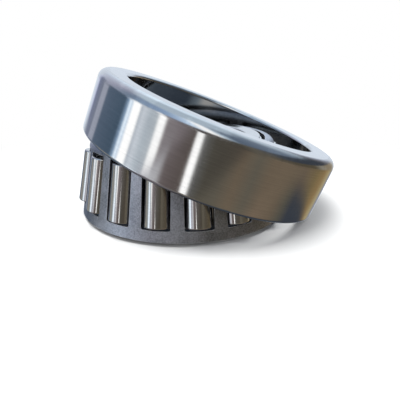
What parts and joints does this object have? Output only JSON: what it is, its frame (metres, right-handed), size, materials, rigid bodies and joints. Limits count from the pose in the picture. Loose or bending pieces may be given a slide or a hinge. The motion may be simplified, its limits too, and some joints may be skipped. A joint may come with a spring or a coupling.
{
  "type": "tapered roller bearing",
  "caption": "Tapered roller bearing: inner ring with caged tapered rollers standing on its back face, and the loose outer ring lying tilted on top of them.",
  "frame": {"origin": "centre of the inner ring's bore at its back face", "axes": "+Z along the inner ring's axis, from its back face to its front face; the outer ring leans towards +X"},
  "size_m": [0.1286, 0.1225, 0.0704],
  "materials": {
    "ring_steel": "ground and polished bearing steel",
    "cage_steel": "matte pressed steel",
    "roller_steel": "fine ground, near mirror"
  },
  "bodies": {
    "cone": {"cone": "ring_steel"},
    "cage": {"cage": "cage_steel"},
    "roller_01": {"roller_01": "roller_steel"},
    "roller_02": {"roller_02": "roller_steel"},
    "roller_03": {"roller_03": "roller_steel"},
    "roller_04": {"roller_04": "roller_steel"},
    "roller_05": {"roller_05": "roller_steel"},
    "roller_06": {"roller_06": "roller_steel"},
    "roller_07": {"roller_07": "roller_steel"},
    "roller_08": {"roller_08": "roller_steel"},
    "roller_09": {"roller_09": "roller_steel"},
    "roller_10": {"roller_10": "roller_steel"},
    "roller_11": {"roller_11": "roller_steel"},
    "roller_12": {"roller_12": "roller_steel"},
    "roller_13": {"roller_13": "roller_steel"},
    "roller_14": {"roller_14": "roller_steel"},
    "roller_15": {"roller_15": "roller_steel"},
    "roller_16": {"roller_16": "roller_steel"},
    "roller_17": {"roller_17": "roller_steel"},
    "cup": {"cup": "ring_steel"}
  },
  "joints": [
    {"name": "cage_spin", "type": "hinge", "parent": "cone", "child": "cage", "pos_m": [0, 0, 0.02], "axis": [0, 0, 1], "continuous": true},
    {"name": "roller_01_spin", "type": "hinge", "parent": "cage", "child": "roller_01", "pos_m": [-0.00884, -0.04467, 0.01959], "axis": [0.0352, 0.1779, 0.9834], "continuous": true},
    {"name": "roller_02_spin", "type": "hinge", "parent": "cage", "child": "roller_02", "pos_m": [0.00789, -0.04485, 0.01959], "axis": [-0.0314, 0.1786, 0.9834], "continuous": true},
    {"name": "roller_03_spin", "type": "hinge", "parent": "cage", "child": "roller_03", "pos_m": [0.02355, -0.03897, 0.01959], "axis": [-0.0938, 0.1552, 0.9834], "continuous": true},
    {"name": "roller_04_spin", "type": "hinge", "parent": "cage", "child": "roller_04", "pos_m": [0.03604, -0.02783, 0.01959], "axis": [-0.1436, 0.1108, 0.9834], "continuous": true},
    {"name": "roller_05_spin", "type": "hinge", "parent": "cage", "child": "roller_05", "pos_m": [0.04366, -0.01293, 0.01959], "axis": [-0.1739, 0.0515, 0.9834], "continuous": true},
    {"name": "roller_06_spin", "type": "hinge", "parent": "cage", "child": "roller_06", "pos_m": [0.04538, 0.00372, 0.01959], "axis": [-0.1808, -0.0148, 0.9834], "continuous": true},
    {"name": "roller_07_spin", "type": "hinge", "parent": "cage", "child": "roller_07", "pos_m": [0.04097, 0.01986, 0.01959], "axis": [-0.1632, -0.0791, 0.9834], "continuous": true},
    {"name": "roller_08_spin", "type": "hinge", "parent": "cage", "child": "roller_08", "pos_m": [0.03103, 0.03332, 0.01959], "axis": [-0.1236, -0.1327, 0.9834], "continuous": true},
    {"name": "roller_09_spin", "type": "hinge", "parent": "cage", "child": "roller_09", "pos_m": [0.0169, 0.04228, 0.01959], "axis": [-0.0673, -0.1684, 0.9834], "continuous": true},
    {"name": "roller_10_spin", "type": "hinge", "parent": "cage", "child": "roller_10", "pos_m": [0.00049, 0.04553, 0.01959], "axis": [-0.0019, -0.1814, 0.9834], "continuous": true},
    {"name": "roller_11_spin", "type": "hinge", "parent": "cage", "child": "roller_11", "pos_m": [-0.01599, 0.04263, 0.01959], "axis": [0.0637, -0.1698, 0.9834], "continuous": true},
    {"name": "roller_12_spin", "type": "hinge", "parent": "cage", "child": "roller_12", "pos_m": [-0.03031, 0.03397, 0.01959], "axis": [0.1208, -0.1353, 0.9834], "continuous": true},
    {"name": "roller_13_spin", "type": "hinge", "parent": "cage", "child": "roller_13", "pos_m": [-0.04054, 0.02073, 0.01959], "axis": [0.1615, -0.0826, 0.9834], "continuous": true},
    {"name": "roller_14_spin", "type": "hinge", "parent": "cage", "child": "roller_14", "pos_m": [-0.04529, 0.00468, 0.01959], "axis": [0.1804, -0.0187, 0.9834], "continuous": true},
    {"name": "roller_15_spin", "type": "hinge", "parent": "cage", "child": "roller_15", "pos_m": [-0.04393, -0.01199, 0.01959], "axis": [0.175, 0.0478, 0.9834], "continuous": true},
    {"name": "roller_16_spin", "type": "hinge", "parent": "cage", "child": "roller_16", "pos_m": [-0.03663, -0.02705, 0.01959], "axis": [0.1459, 0.1078, 0.9834], "continuous": true},
    {"name": "roller_17_spin", "type": "hinge", "parent": "cage", "child": "roller_17", "pos_m": [-0.02438, -0.03846, 0.01959], "axis": [0.0971, 0.1532, 0.9834], "continuous": true},
    {"name": "cup_spin", "type": "hinge", "parent": "cone", "child": "cup", "pos_m": [0.01419, 0.00049, 0.0356], "axis": [0.363, 0.0127, 0.9317], "continuous": true}
  ],
  "couplings": [
    {"joint": "roller_01_spin", "follows": "cage_spin", "ratio": 7.0092},
    {"joint": "roller_02_spin", "follows": "cage_spin", "ratio": 7.0092},
    {"joint": "roller_03_spin", "follows": "cage_spin", "ratio": 7.0092},
    {"joint": "roller_04_spin", "follows": "cage_spin", "ratio": 7.0092},
    {"joint": "roller_05_spin", "follows": "cage_spin", "ratio": 7.0092},
    {"joint": "roller_06_spin", "follows": "cage_spin", "ratio": 7.0092},
    {"joint": "roller_07_spin", "follows": "cage_spin", "ratio": 7.0092},
    {"joint": "roller_08_spin", "follows": "cage_spin", "ratio": 7.0092},
    {"joint": "roller_09_spin", "follows": "cage_spin", "ratio": 7.0092},
    {"joint": "roller_10_spin", "follows": "cage_spin", "ratio": 7.0092},
    {"joint": "roller_11_spin", "follows": "cage_spin", "ratio": 7.0092},
    {"joint": "roller_12_spin", "follows": "cage_spin", "ratio": 7.0092},
    {"joint": "roller_13_spin", "follows": "cage_spin", "ratio": 7.0092},
    {"joint": "roller_14_spin", "follows": "cage_spin", "ratio": 7.0092},
    {"joint": "roller_15_spin", "follows": "cage_spin", "ratio": 7.0092},
    {"joint": "roller_16_spin", "follows": "cage_spin", "ratio": 7.0092},
    {"joint": "roller_17_spin", "follows": "cage_spin", "ratio": 7.0092}
  ]
}
